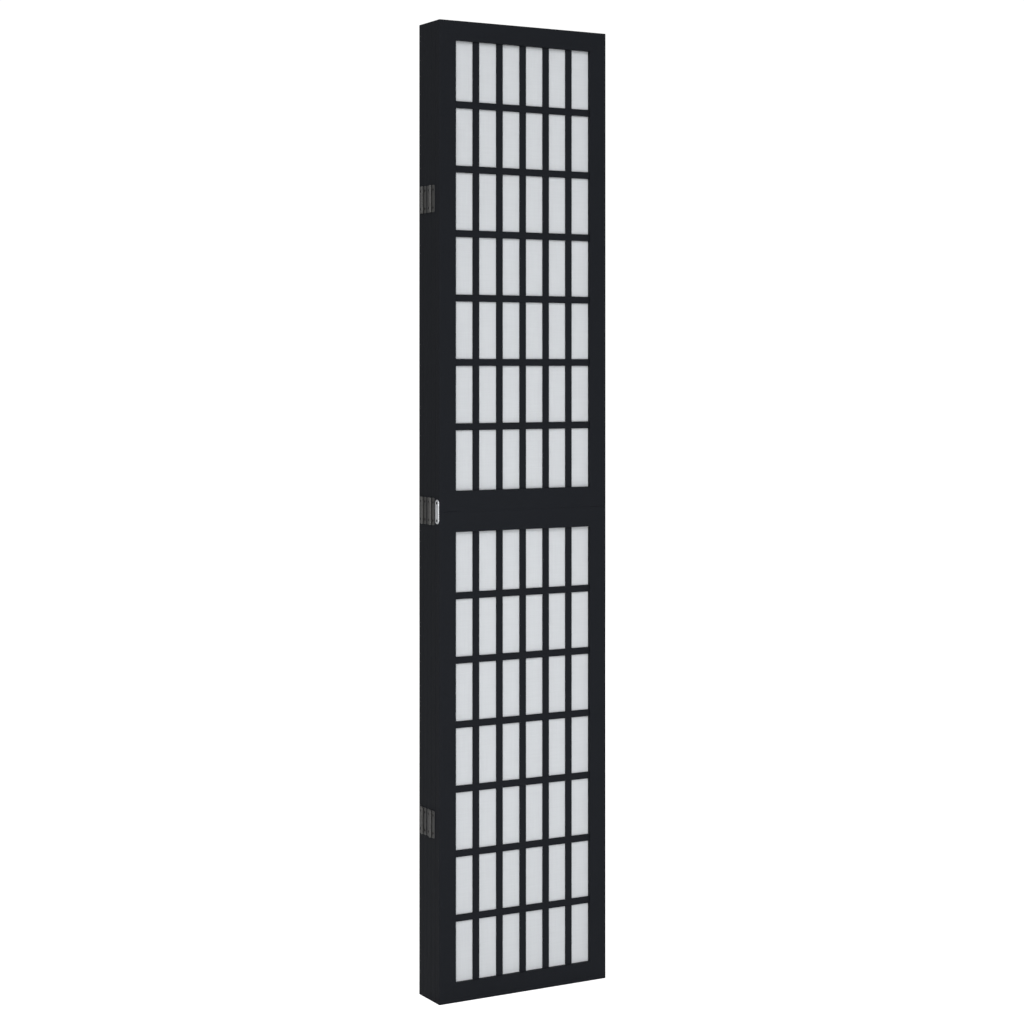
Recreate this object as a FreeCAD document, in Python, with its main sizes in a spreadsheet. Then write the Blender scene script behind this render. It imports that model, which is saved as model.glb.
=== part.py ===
"""Folding shoji screen of hinged panels, modelled folded up as a stack.

Axes: +X to the right along the panels, +Y from the front panel to the back one, +Z up.
Origin: middle of the stack's footprint, on the floor. Lengths are in millimetres.

Every panel is two equal halves, butted at mid height. The upper half is the lower one turned
upside down. A half is a frame of two stiles and two rails, whose tongues fill mortises in the
stiles. A narrow groove round the opening holds the edge of the fabric, which lies behind the
lattice. The uprights stand in sockets in the rails, and the crossbars lie flush in notches cut
across the front of the uprights, end to end between the stiles.

Hinge pins stand outside the panels' edges, in line with the gap between two panels, so that a
pair of panels turns from face to face through half a turn until both lie in one plane. Every
other panel faces backwards in the stack, so that all the lattices face one way when it is open.
"""
import FreeCAD, Part
import math
import os

import Sketcher
from FreeCAD import Placement, Rotation, Vector

# ---------------------------------------------------------------- driving dimensions
SIZES = {
    "screen_height": (1800.0, "floor to top edge"),
    "panel_width": (357.0, "outer edge to outer edge of one panel"),
    "frame_thickness": (16.0, "stiles and rails, front to back"),
    "stack_gap": (0.3, "between two folded panels"),
    "stile_width": (34.5, "upright frame members, seen from the front"),
    "end_rail_height": (36.0, "rail at the top or bottom of the screen"),
    "seam_rail_height": (37.8, "rail on each side of the seam at mid height"),
    "groove_depth": (6.0, "fabric groove, sockets and mortises in the frame's inner edge"),
    "groove_clearance": (0.5, "room left at the bottom of each of them"),
    "tongue_set_in": (8.0, "rail's outer edge to its tongue"),
    "lattice_recess": (4.3, "face of the frame to face of the lattice"),
    "upright_width": (12.7, "lattice upright, seen from the front"),
    "upright_thickness": (3.9, "lattice upright, front to back"),
    "crossbar_height": (12.9, "lattice crossbar, seen from the front"),
    "crossbar_thickness": (2.0, "lattice crossbar, front to back, and depth of its notches"),
    "upright_count": (5.0, "lattice uprights in a half panel"),
    "crossbar_count": (6.0, "lattice crossbars in a half panel"),
    "end_column_extra": (1.15, "how much wider the outermost panes are than the rest"),
    "end_row_extra": (5.4, "how much taller the outermost panes are than the rest"),
    "fabric_thickness": (0.4, "fabric sheet"),
    "hinge_height": (50.0, "one hinge leaf, along the pin"),
    "hinge_spacing": (574.0, "centre to centre of neighbouring hinges on one edge"),
    "leaf_reach": (14.0, "pin axis to the far edge of a leaf"),
    "leaf_thickness": (1.0, "hinge leaf"),
    "barrel_radius": (2.3, "outside of the hinge knuckles"),
    "pin_radius": (1.2, "hinge pin"),
    "pin_clearance": (0.05, "pin to bore, on the radius"),
    "knuckle_gap": (0.2, "between two knuckles, along the pin"),
    "sweep_gap": (0.3, "knuckle to the notch of the other leaf"),
    "plate_width": (13.0, "seam plate, across the panel's edge"),
    "plate_height": (45.0, "seam plate, along the panel's edge"),
    "plate_thickness": (1.5, "seam plate"),
}

PANEL_COUNT = 5
HINGES_PER_EDGE = 3
KNUCKLES = 3
PIN_SIDES = 8  # the thin pins and their bores have flats, which keeps twelve hinges light
BARREL_SIDES = 16  # so do the knuckles, with their corners on the barrel's radius

doc = FreeCAD.newDocument("shoji_screen")
sheet = doc.addObject("Spreadsheet::Sheet", "sizes")
for row, (alias, (value, note)) in enumerate(SIZES.items(), start=1):
    sheet.set(f"A{row}", note)
    sheet.set(f"B{row}", str(value))
    sheet.setAlias(f"B{row}", alias)
doc.recompute()


def size(alias):
    """Formula that reads one driving dimension."""
    return f"sizes.{alias}"


def number(formula):
    """Present value of a formula."""
    return float(sheet.evalExpression(formula))


# ---------------------------------------------------------------- formulas that pieces share
HALF_HEIGHT = f"({size('screen_height')} / 2)"
OPENING_WIDTH = f"({size('panel_width')} - 2 * {size('stile_width')})"
OPENING_HEIGHT = f"({HALF_HEIGHT} - {size('end_rail_height')} - {size('seam_rail_height')})"
HALF_OPENING = f"({OPENING_WIDTH} / 2)"
OPENING_TOP = f"({HALF_HEIGHT} - {size('seam_rail_height')})"
HOUSED = f"({size('groove_depth')} - {size('groove_clearance')})"
LATTICE_FRONT = size("lattice_recess")
LATTICE_BACK = f"({LATTICE_FRONT} + {size('upright_thickness')})"
NOTCH_FLOOR = f"({LATTICE_FRONT} + {size('crossbar_thickness')})"
GROOVE_BACK = f"({LATTICE_BACK} + {size('fabric_thickness')})"
COLUMN_PITCH = (
    f"(({OPENING_WIDTH} + {size('upright_width')} - 2 * {size('end_column_extra')})"
    f" / ({size('upright_count')} + 1))"
)
ROW_PITCH = (
    f"(({OPENING_HEIGHT} + {size('crossbar_height')} - 2 * {size('end_row_extra')})"
    f" / ({size('crossbar_count')} + 1))"
)
COLUMNS_SPAN = f"({COLUMN_PITCH} * ({size('upright_count')} - 1))"
FIRST_UPRIGHT = f"(-{COLUMNS_SPAN} / 2 - {size('upright_width')} / 2)"
ROWS_SPAN = f"({ROW_PITCH} * ({size('crossbar_count')} - 1))"
LOWEST_ROW = f"({size('end_rail_height')} + ({OPENING_HEIGHT} - {ROWS_SPAN}) / 2)"

PANEL_PITCH = f"({size('frame_thickness')} + {size('stack_gap')})"
STACK_DEPTH = f"({PANEL_PITCH} * {PANEL_COUNT - 1} + {size('frame_thickness')})"
EDGE = f"({size('panel_width')} / 2)"
PIN_OFFSET = f"({EDGE} + {size('barrel_radius')})"
BORE_RADIUS = f"(({size('pin_radius')} + {size('pin_clearance')}) / cos(180 deg / {PIN_SIDES}))"
KNUCKLE_PITCH = f"({size('hinge_height')} / {KNUCKLES})"
HINGES_SPAN = f"({size('hinge_spacing')} * {HINGES_PER_EDGE - 1})"
LOWEST_HINGE = f"({HALF_HEIGHT} - {HINGES_SPAN} / 2 - {size('hinge_height')} / 2)"


def panel_front(panel):
    """Formula for the Y of a panel's front face, panels being counted from the front."""
    return f"({PANEL_PITCH} * {panel - 1} - {STACK_DEPTH} / 2)"


def gap_behind(panel):
    """Formula for the Y of the middle of the gap behind a panel."""
    return f"({panel_front(panel)} + {size('frame_thickness')} + {size('stack_gap')} / 2)"


# ---------------------------------------------------------------- modelling helpers
def new_body(label):
    """Empty body that may hold several separate solids."""
    body = doc.addObject("PartDesign::Body", label)
    body.Label = label
    body.AllowCompound = True
    return body


def origin_feature(body, role):
    """One of the body's own origin planes or axes."""
    return next(item for item in body.Origin.OriginFeatures if item.Role == role)


def new_sketch(body, name, plane, offset="0"):
    """Sketch on an origin plane, moved along the plane's normal by a formula."""
    sketch = body.newObject("Sketcher::SketchObject", f"{body.Name}_{name}")
    sketch.AttachmentSupport = [(origin_feature(body, plane), "")]
    sketch.MapMode = "FlatFace"
    sketch.setExpression("AttachmentOffset.Base.z", offset)
    return sketch


def drive(sketch, kind, *references, formula):
    """Dimension constraint whose value is a formula."""
    index = sketch.addConstraint(Sketcher.Constraint(kind, *references, number(formula)))
    sketch.setExpression(f"Constraints[{index}]", formula)


def join(sketch, geometry):
    """Join the end of each listed line or arc to the start of the next, all round."""
    for this, following in zip(geometry, geometry[1:] + geometry[:1]):
        sketch.addConstraint(Sketcher.Constraint("Coincident", this, 2, following, 1))


def outline(sketch, corners):
    """Closed outline of straight lines. Each corner is a pair of formulas."""
    points = [Vector(number(across), number(up), 0) for across, up in corners]
    lines = [
        sketch.addGeometry(Part.LineSegment(start, end))
        for start, end in zip(points, points[1:] + points[:1])
    ]
    join(sketch, lines)
    for line, (across, up) in zip(lines, corners):
        drive(sketch, "DistanceX", -1, 1, line, 1, formula=across)
        drive(sketch, "DistanceY", -1, 1, line, 1, formula=up)


def rectangle(sketch, low, high):
    """Rectangle from its lowest to its highest corner, each a pair of formulas."""
    outline(sketch, [low, (high[0], low[1]), high, (low[0], high[1])])


def pad(sketch, length, both_ways=False):
    """Extrude a sketch along its normal, or half the length each way."""
    feature = sketch.getParentGeoFeatureGroup().newObject("PartDesign::Pad", f"{sketch.Name}_pad")
    feature.Profile = sketch
    feature.Midplane = both_ways
    feature.setExpression("Length", length)
    sketch.Visibility = False
    return feature


def cut_across(sketch, length):
    """Cut a sketch's area out of the body, half the length each way."""
    body = sketch.getParentGeoFeatureGroup()
    feature = body.newObject("PartDesign::Pocket", f"{sketch.Name}_cut")
    feature.Profile = sketch
    feature.Midplane = True
    feature.setExpression("Length", length)
    return feature


def repeat(body, features, role, span, count):
    """Row of copies of the features along an origin axis, over the whole span."""
    pattern = body.newObject("PartDesign::LinearPattern", f"{features[0].Name}_row")
    pattern.Originals = features
    pattern.Direction = (origin_feature(body, role), [""])
    pattern.setExpression("Length", span)
    pattern.setExpression("Occurrences", count)
    body.Tip = pattern
    return pattern


def mirror(body, feature, plane):
    """Mirror image of a feature in an origin plane, kept with the original."""
    mirrored = body.newObject("PartDesign::Mirrored", f"{feature.Name}_mirror")
    mirrored.Originals = [feature]
    mirrored.MirrorPlane = (origin_feature(body, plane), [""])
    body.Tip = mirrored
    return mirrored


def place(piece, across="0", deep="0", high="0", rotation=Rotation()):
    """Turn a piece, then hold its origin at three formulas."""
    piece.Placement = Placement(Vector(), rotation)
    for axis, formula in zip("xyz", (across, deep, high)):
        piece.setExpression(f".Placement.Base.{axis}", formula)
    return piece


# ---------------------------------------------------------------- one half panel
# A half panel stands on its end rail, with its front face at Y = 0 and its seam edge on top.
RAILS = [  # name, outer edge, inner edge, direction from the outer edge to the opening
    ("end", "0", size("end_rail_height"), 1),
    ("seam", HALF_HEIGHT, OPENING_TOP, -1),
]


def draw_tongue(sketch, outer, inner, towards_opening):
    """End view of a rail's tongue, which is also its mortise's."""
    set_in = f"({outer} + {towards_opening} * {size('tongue_set_in')})"
    groove_floor = f"({inner} - {towards_opening} * {size('groove_depth')})"
    outline(sketch, [
        (LATTICE_FRONT, set_in),
        (GROOVE_BACK, set_in),
        (GROOVE_BACK, groove_floor),
        (LATTICE_FRONT, groove_floor),
    ])


def make_stiles(label):
    """Two stiles, each with the fabric groove down its inner edge and a mortise for each rail."""
    body = new_body(label)
    sketch = new_sketch(body, "section", "XY_Plane")
    groove_floor = f"({HALF_OPENING} + {size('groove_depth')})"
    outline(sketch, [
        (HALF_OPENING, "0"),
        (EDGE, "0"),
        (EDGE, size("frame_thickness")),
        (HALF_OPENING, size("frame_thickness")),
        (HALF_OPENING, GROOVE_BACK),
        (groove_floor, GROOVE_BACK),
        (groove_floor, LATTICE_BACK),
        (HALF_OPENING, LATTICE_BACK),
    ])
    mirror(body, pad(sketch, HALF_HEIGHT), "YZ_Plane")
    for name, outer, inner, towards_opening in RAILS:
        mortise = new_sketch(body, f"{name}_mortise", "YZ_Plane")
        draw_tongue(mortise, outer, inner, towards_opening)
        cut_across(mortise, f"{OPENING_WIDTH} + 2 * {size('groove_depth')}")
    return body


def make_rails(label):
    """Two rails with tongues, with the fabric groove and the uprights' sockets in their edges."""
    body = new_body(label)
    for name, outer, inner, towards_opening in RAILS:
        groove_floor = f"({inner} - {towards_opening} * {size('groove_depth')})"
        section = new_sketch(body, f"{name}_section", "YZ_Plane")
        outline(section, [
            ("0", outer),
            (size("frame_thickness"), outer),
            (size("frame_thickness"), inner),
            (GROOVE_BACK, inner),
            (GROOVE_BACK, groove_floor),
            (LATTICE_BACK, groove_floor),
            (LATTICE_BACK, inner),
            ("0", inner),
        ])
        pad(section, OPENING_WIDTH, both_ways=True)
        tongue = new_sketch(body, f"{name}_tongue", "YZ_Plane")
        draw_tongue(tongue, outer, inner, towards_opening)
        pad(tongue, f"{OPENING_WIDTH} + 2 * {HOUSED}", both_ways=True)
    middle = f"{size('end_rail_height')} + {OPENING_HEIGHT} / 2"
    socket = new_sketch(body, "socket", "XY_Plane", offset=middle)
    draw_upright(socket)
    cut = cut_across(socket, f"{OPENING_HEIGHT} + 2 * {size('groove_depth')}")
    repeat(body, [cut], "X_Axis", COLUMNS_SPAN, size("upright_count"))
    return body


def draw_upright(sketch):
    """End view of the first upright, which is also its sockets'."""
    right = f"({FIRST_UPRIGHT} + {size('upright_width')})"
    rectangle(sketch, (FIRST_UPRIGHT, LATTICE_FRONT), (right, LATTICE_BACK))


def make_uprights(label):
    """Lattice uprights, notched across the front for the crossbars."""
    body = new_body(label)
    section = new_sketch(
        body, "section", "XY_Plane", offset=f"{size('end_rail_height')} - {HOUSED}"
    )
    draw_upright(section)
    bar = pad(section, f"{OPENING_HEIGHT} + 2 * {HOUSED}")
    repeat(body, [bar], "X_Axis", COLUMNS_SPAN, size("upright_count"))
    notch = new_sketch(body, "notch", "YZ_Plane")
    low = f"({LOWEST_ROW} - {size('crossbar_height')} / 2)"
    rectangle(notch, (LATTICE_FRONT, low), (NOTCH_FLOOR, f"({low} + {size('crossbar_height')})"))
    cut = cut_across(notch, OPENING_WIDTH)
    repeat(body, [cut], "Z_Axis", ROWS_SPAN, size("crossbar_count"))
    return body


def make_crossbars(label):
    """Lattice crossbars, which fill the notches of the uprights."""
    body = new_body(label)
    section = new_sketch(body, "section", "YZ_Plane")
    low = f"({LOWEST_ROW} - {size('crossbar_height')} / 2)"
    rectangle(section, (LATTICE_FRONT, low), (NOTCH_FLOOR, f"({low} + {size('crossbar_height')})"))
    bar = pad(section, OPENING_WIDTH, both_ways=True)
    repeat(body, [bar], "Z_Axis", ROWS_SPAN, size("crossbar_count"))
    return body


def make_fabric(label):
    """Fabric sheet, flat against the back of the lattice, its edge in the groove."""
    body = new_body(label)
    section = new_sketch(body, "section", "YZ_Plane")
    rectangle(
        section,
        (LATTICE_BACK, f"({size('end_rail_height')} - {HOUSED})"),
        (GROOVE_BACK, f"({OPENING_TOP} + {HOUSED})"),
    )
    pad(section, f"{OPENING_WIDTH} + 2 * {HOUSED}", both_ways=True)
    return body


def make_half(panel, name):
    """All the pieces of one half of a panel."""
    prefix = f"panel_{panel}_{name}"
    lattice = doc.addObject("Part::Compound", f"{prefix}_lattice")
    lattice.Label = f"{prefix}_lattice"
    lattice.Links = [
        make_uprights(f"{prefix}_uprights"),
        make_crossbars(f"{prefix}_crossbars"),
    ]
    pieces = [
        make_stiles(f"{prefix}_stiles"),
        make_rails(f"{prefix}_rails"),
        lattice,
        make_fabric(f"{prefix}_fabric"),
    ]
    upper = name == "upper"
    faces_back = panel % 2 == 0
    over = Rotation(Vector(0, 1, 0), 180) if upper else Rotation()
    round_about = Rotation(Vector(0, 0, 1), 180) if faces_back else Rotation()
    deep = f"({panel_front(panel)} + {size('frame_thickness')})" if faces_back else panel_front(panel)
    high = size("screen_height") if upper else "0"
    return [
        place(piece, deep=deep, high=high, rotation=round_about.multiply(over))
        for piece in pieces
    ]


# ---------------------------------------------------------------- hinges and plates
# A hinge is drawn round its pin axis, for the left edge of a panel that lies on its +X side.
def make_leaves(label, towards, knuckles):
    """The leaves on one edge of a panel.

    towards is 1 for a leaf that reaches along +Y and -1 for one that reaches along -Y.
    knuckles lists which of the hinge's knuckles, counted from below, the leaf is rolled into.
    """
    body = new_body(label)
    radius = size("barrel_radius")
    inner_face = f"({radius} - {size('leaf_thickness')})"
    root = f"{towards} * ({radius} + {size('sweep_gap')})"
    tip = f"{towards} * {size('leaf_reach')}"
    plate = new_sketch(body, "plate", "XY_Plane")
    outline(plate, [(inner_face, root), (radius, root), (radius, tip), (inner_face, tip)])
    features = [pad(plate, size("hinge_height"))]
    for knuckle in knuckles:
        lower_gap = 0 if knuckle == 0 else 0.5
        upper_gap = 0 if knuckle == KNUCKLES - 1 else 0.5
        start = f"{KNUCKLE_PITCH} * {knuckle} + {size('knuckle_gap')} * {lower_gap}"
        length = f"{KNUCKLE_PITCH} - {size('knuckle_gap')} * {lower_gap + upper_gap}"
        roll = new_sketch(body, f"knuckle_{knuckle}", "XY_Plane", offset=start)
        draw_knuckle(roll, towards, radius, inner_face, root)
        features.append(pad(roll, length))
    repeat(body, features, "Z_Axis", HINGES_SPAN, str(HINGES_PER_EDGE))
    return body


def draw_knuckle(sketch, towards, radius, inner_face, root):
    """Rolled knuckle round the pin's bore, tangent to the leaf's mounting face.

    The roll starts where the barrel meets the leaf's inner face and runs round to the tangent
    point, which is at 0 degrees.
    """
    step = 360 / BARREL_SIDES
    start = math.degrees(math.acos(number(inner_face) / number(radius)))
    turns = [step * side for side in range(BARREL_SIDES + 1) if step * (side - 0.25) > start]
    rise = f"{towards} * sqrt({radius} * {radius} - {inner_face} * {inner_face})"
    roll = [
        (f"{radius} * cos({turn} deg)", f"{towards} * {radius} * sin({turn} deg)")
        for turn in turns
    ]
    outline(sketch, [(inner_face, rise), *roll, (radius, root), (inner_face, root)])
    draw_flats(sketch, BORE_RADIUS)


def draw_flats(sketch, radius):
    """Regular outline of PIN_SIDES flats round the sketch's origin, corners on the radius."""
    turns = [360 * side / PIN_SIDES for side in range(PIN_SIDES)]
    outline(sketch, [(f"{radius} * cos({turn} deg)", f"{radius} * sin({turn} deg)") for turn in turns])


def make_pins(label):
    """The hinge pins of one edge, each as long as its hinge."""
    body = new_body(label)
    section = new_sketch(body, "section", "XY_Plane")
    draw_flats(section, size("pin_radius"))
    repeat(body, [pad(section, size("hinge_height"))], "Z_Axis", HINGES_SPAN, str(HINGES_PER_EDGE))
    return body


def make_hinge_line(front_panel):
    """Leaves and pins that join a panel to the one behind it."""
    back_panel = front_panel + 1
    on_right = front_panel % 2 == 1
    side = "right" if on_right else "left"
    turn = Rotation(Vector(0, 0, 1), 180 if on_right else 0)
    across = PIN_OFFSET if on_right else f"-{PIN_OFFSET}"
    behind = -1 if on_right else 1
    pieces = [
        make_leaves(f"panel_{front_panel}_{side}_leaves", -behind, [1]),
        make_leaves(f"panel_{back_panel}_{side}_leaves", behind, [0, 2]),
        make_pins(f"hinge_pins_{front_panel}_{back_panel}"),
    ]
    return [
        place(piece, across, gap_behind(front_panel), LOWEST_HINGE, turn) for piece in pieces
    ]


def make_seam_plate(panel, side):
    """Plate with round ends that holds the two halves together on a free edge."""
    body = new_body(f"panel_{panel}_seam_plate")
    section = new_sketch(body, "outline", "YZ_Plane")
    radius = f"({size('plate_width')} / 2)"
    straight = f"(({size('plate_height')} - {size('plate_width')}) / 2)"
    wide = number(radius)
    tall = number(straight)
    corners = [Vector(wide, -tall, 0), Vector(wide, tall, 0), Vector(-wide, tall, 0), Vector(-wide, -tall, 0)]
    right = section.addGeometry(Part.LineSegment(corners[0], corners[1]))
    top = section.addGeometry(Part.Arc(corners[1], Vector(0, tall + wide, 0), corners[2]))
    left = section.addGeometry(Part.LineSegment(corners[2], corners[3]))
    bottom = section.addGeometry(Part.Arc(corners[3], Vector(0, -tall - wide, 0), corners[0]))
    for line, following in ((right, top), (top, left), (left, bottom), (bottom, right)):
        section.addConstraint(Sketcher.Constraint("Tangent", line, 2, following, 1))
    for arc in (top, bottom):
        section.addConstraint(Sketcher.Constraint("PointOnObject", arc, 3, -2))
    section.addConstraint(Sketcher.Constraint("Vertical", right))
    drive(section, "Radius", top, formula=radius)
    drive(section, "DistanceY", -1, 1, top, 3, formula=straight)
    drive(section, "DistanceY", bottom, 3, -1, 1, formula=straight)
    pad(section, size("plate_thickness"))
    on_left = side == "left"
    turn = Rotation(Vector(0, 0, 1), 180 if on_left else 0)
    middle = f"({panel_front(panel)} + {size('frame_thickness')} / 2)"
    return place(body, f"-{EDGE}" if on_left else EDGE, middle, HALF_HEIGHT, turn)


# ---------------------------------------------------------------- the whole screen
nodes = []
for panel in range(1, PANEL_COUNT + 1):
    for name in ("lower", "upper"):
        nodes += make_half(panel, name)
for front_panel in range(1, PANEL_COUNT):
    nodes += make_hinge_line(front_panel)
nodes.append(make_seam_plate(1, "left"))
nodes.append(make_seam_plate(PANEL_COUNT, "right"))

doc.recompute()

for item in doc.Objects:
    if "Invalid" in item.State or "Error" in item.State:
        raise RuntimeError(f"{item.Label} did not recompute: {item.State}")
for node in nodes:
    if node.Shape.isNull() or not node.Shape.isValid():
        raise RuntimeError(f"{node.Label} has no valid shape")

os.makedirs("parts", exist_ok=True)
for node in nodes:
    node.Shape.exportStep(os.path.join("parts", f"{node.Label}.step"))
    print(f"{node.Label}: {len(node.Shape.Solids)} solids, {node.Shape.Volume:.0f} mm3")
print(f"{len(nodes)} sub-parts written")
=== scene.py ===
"""Looks of a folding shoji screen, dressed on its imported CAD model.

The axes are the model's own: +X to the right along the panels, +Y from the front panel to the back
one, +Z up, with the origin on the floor in the middle of the folded stack. The screen's sizes are
in millimetres and turn to metres where a mesh or a pattern is made. The studio's are in metres.
"""

import logging
import math
from dataclasses import dataclass
from enum import Enum

import bmesh
import bpy
import numpy as np
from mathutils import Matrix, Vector
from mathutils.geometry import delaunay_2d_cdt


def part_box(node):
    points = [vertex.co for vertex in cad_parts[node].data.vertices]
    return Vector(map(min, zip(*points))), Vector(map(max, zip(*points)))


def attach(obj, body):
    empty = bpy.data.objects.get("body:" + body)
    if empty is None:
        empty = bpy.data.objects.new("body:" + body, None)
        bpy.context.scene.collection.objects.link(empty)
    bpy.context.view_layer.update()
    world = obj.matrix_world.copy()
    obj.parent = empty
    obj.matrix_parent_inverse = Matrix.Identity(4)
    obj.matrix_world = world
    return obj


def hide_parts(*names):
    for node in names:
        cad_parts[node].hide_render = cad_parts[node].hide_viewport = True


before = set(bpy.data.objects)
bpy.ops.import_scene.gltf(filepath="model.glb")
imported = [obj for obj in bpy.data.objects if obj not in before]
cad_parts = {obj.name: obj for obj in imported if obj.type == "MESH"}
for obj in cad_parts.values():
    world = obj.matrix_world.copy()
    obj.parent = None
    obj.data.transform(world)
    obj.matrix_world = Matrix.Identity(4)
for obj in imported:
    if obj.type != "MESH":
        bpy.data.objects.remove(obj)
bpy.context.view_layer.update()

MM = 0.001
PANEL_COUNT = 5
HINGES_PER_EDGE = 3
HINGE_HEIGHT = 50.0
WHOLE_HULL = 0  # the triangulator's number for: fill the loops and all that lies between them
HULL_ROUNDING = 1e-5  # millimetres; the triangulator takes nearer points for one
SAME_POINT = 1e-6  # metres; nearer points are merged
NO_LENGTH = 1e-7  # metres; shorter edges are dissolved
SHARP_BEND = math.radians(40)  # edges that bend more than this stay sharp
NOISE_RANGE = {"From Min": 0.3, "From Max": 0.7}  # the values that a noise texture mostly has
Material, Tree, Socket = bpy.types.Material, bpy.types.NodeTree, bpy.types.NodeSocket
LOG = logging.getLogger("shoji_screen")


# ======================== named options
class Half(Enum):
    """The two halves of a panel."""

    LOWER = "lower"
    UPPER = "upper"


class Side(Enum):
    """The two upright edges of a panel, by their direction along X."""

    LEFT = -1
    RIGHT = 1

    @property
    def label(self) -> str:
        """Word used in the names of CAD nodes and pieces."""
        return self.name.lower()


class Grain(Enum):
    """Which way the wood grain runs, as the axis that the pattern is stretched along."""

    UPRIGHT = 2
    LEVEL = 0


# ======================== surfaces
@dataclass
class Shell:
    """One or more surfaces: an array of points in millimetres, and faces that list them."""

    points: np.ndarray
    faces: list[list[int]]

    @staticmethod
    def joined(shells: list["Shell"]) -> "Shell":
        """Put several shells in one.

        Args:
            shells: the shells, in order.

        Returns:
            A shell with all their points and faces.
        """
        starts = np.cumsum([0] + [len(shell.points) for shell in shells])
        faces = [
            [int(start) + corner for corner in face]
            for start, shell in zip(starts, shells)
            for face in shell.faces
        ]
        return Shell(np.concatenate([shell.points for shell in shells]), faces)

    def moved(self, x: float = 0.0, y: float = 0.0, z: float = 0.0) -> "Shell":
        """The same shell, moved."""
        return Shell(self.points + np.array([x, y, z]), self.faces)

    def flipped(self, x: float = 1.0, y: float = 1.0, z: float = 1.0) -> "Shell":
        """The same shell with each axis times 1 or -1. dress() points the faces outwards again."""
        return Shell(self.points * np.array([x, y, z]), self.faces)


def inset(corners: np.ndarray, amount: np.ndarray) -> np.ndarray:
    """Move a square-cornered outline inwards.

    Every corner moves by the amount along the inward normals of both edges that meet there. The
    inward normal of an edge is its direction turned a quarter to the left, so the outline runs
    anticlockwise.

    Args:
        corners: (corners, 2) outline.
        amount: (rings,) how far each ring is moved.

    Returns:
        (rings, corners, 2) outlines.
    """
    ahead = np.roll(corners, -1, axis=0) - corners
    ahead = ahead / np.linalg.norm(ahead, axis=1, keepdims=True)
    normal = np.stack([-ahead[:, 1], ahead[:, 0]], axis=1)
    inward = normal + np.roll(normal, 1, axis=0)
    return corners + amount[:, None, None] * inward


def eased(corners: np.ndarray, radii: np.ndarray, steps: int = 3) -> np.ndarray:
    """Round the right-angled corners of outlines.

    With p the corner, a and b the directions to its neighbours, and t from 0 to a quarter turn,
    the arc is p + r (a (1 - sin t) + b (1 - cos t)).

    Args:
        corners: (rings, corners, 2) outlines.
        radii: (rings, corners) radius of each corner; 0 keeps it sharp.
        steps: straight runs in a quarter turn.

    Returns:
        (rings, corners * (steps + 1), 2) outlines.
    """
    back = np.roll(corners, 1, axis=1) - corners
    ahead = np.roll(corners, -1, axis=1) - corners
    back = back / np.linalg.norm(back, axis=2, keepdims=True)
    ahead = ahead / np.linalg.norm(ahead, axis=2, keepdims=True)
    turn = np.linspace(0, math.pi / 2, steps + 1)[None, None, :, None]
    arc = back[:, :, None] * (1 - np.sin(turn)) + ahead[:, :, None] * (1 - np.cos(turn))
    points = corners[:, :, None] + radii[:, :, None, None] * arc
    return points.reshape(len(corners), -1, 2)


def eased_ends(
    low: float, high: float, radius: float, steps: int = 3
) -> tuple[np.ndarray, np.ndarray]:
    """Stations along a bar whose two ends are rounded over.

    At a turn t from 0 to a quarter, a station lies r (1 - cos t) from the end and its ring is
    inset by r (1 - sin t).

    Args:
        low: where the bar starts.
        high: where it ends.
        radius: of the rounding.
        steps: straight runs in each rounding.

    Returns:
        Places of the stations and how far each ring is inset.
    """
    turn = np.linspace(0, math.pi / 2, steps + 1)
    along, inwards = radius * (1 - np.cos(turn)), radius * (1 - np.sin(turn))
    places = np.concatenate([low + along, high - along[::-1]])
    return places, np.concatenate([inwards, inwards[::-1]])


def cut_stations(
    low: float, high: float, middles: np.ndarray, width: float
) -> tuple[np.ndarray, np.ndarray]:
    """Stations along a bar that is cut square across at a row of notches.

    Two stations coincide at each edge of a notch, one outside it and one in it, so that the skin
    between them is a square shoulder.

    Args:
        low: where the bar starts.
        high: where it ends.
        middles: (notches,) middle of each notch.
        width: of a notch.

    Returns:
        Places of the stations and which of them are in a notch.
    """
    edges = middles[:, None] + width / 2 * np.array([-1, -1, 1, 1])
    places = np.concatenate([[low], edges.ravel(), [high]])
    in_notch = np.concatenate([[False], np.tile([False, True, True, False], len(middles)), [False]])
    return places, in_notch


def circle(around: int) -> np.ndarray:
    """Points of a circle of radius 1, anticlockwise, as (around, 2)."""
    turn = np.linspace(0, 2 * math.pi, around, endpoint=False)
    return np.stack([np.cos(turn), np.sin(turn)], axis=1)


def strung(outlines: np.ndarray, places: np.ndarray, along: int = 2) -> np.ndarray:
    """Flat outlines as rings along an axis.

    Args:
        outlines: (rings, points, 2), in the two other axes.
        places: (rings,) where each ring lies on the axis.
        along: the axis: 0 for X, 2 for Z.

    Returns:
        (rings, points, 3) rings.
    """
    columns = [outlines[:, :, 0], outlines[:, :, 1]]
    columns.insert(along, np.broadcast_to(places[:, None], outlines.shape[:2]))
    return np.dstack(columns)


def skin(rings: np.ndarray, caps: int = 2) -> Shell:
    """Skin over a row of rings.

    Point j of ring i is joined to point j of ring i + 1, and a flat face closes each capped end.

    Args:
        rings: (rings, points, 3).
        caps: 2 closes both ends, 1 closes the first and 0 neither.

    Returns:
        The shell.
    """
    count, around, _ = rings.shape
    index = np.arange(count * around).reshape(count, around)
    following = np.roll(index, -1, axis=1)
    quads = np.stack([index[:-1], following[:-1], following[1:], index[1:]], axis=-1)
    faces = quads.reshape(-1, 4).tolist()
    faces += [index[0, ::-1].tolist(), index[-1].tolist()][:caps]
    return Shell(rings.reshape(-1, 3), faces)


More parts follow.
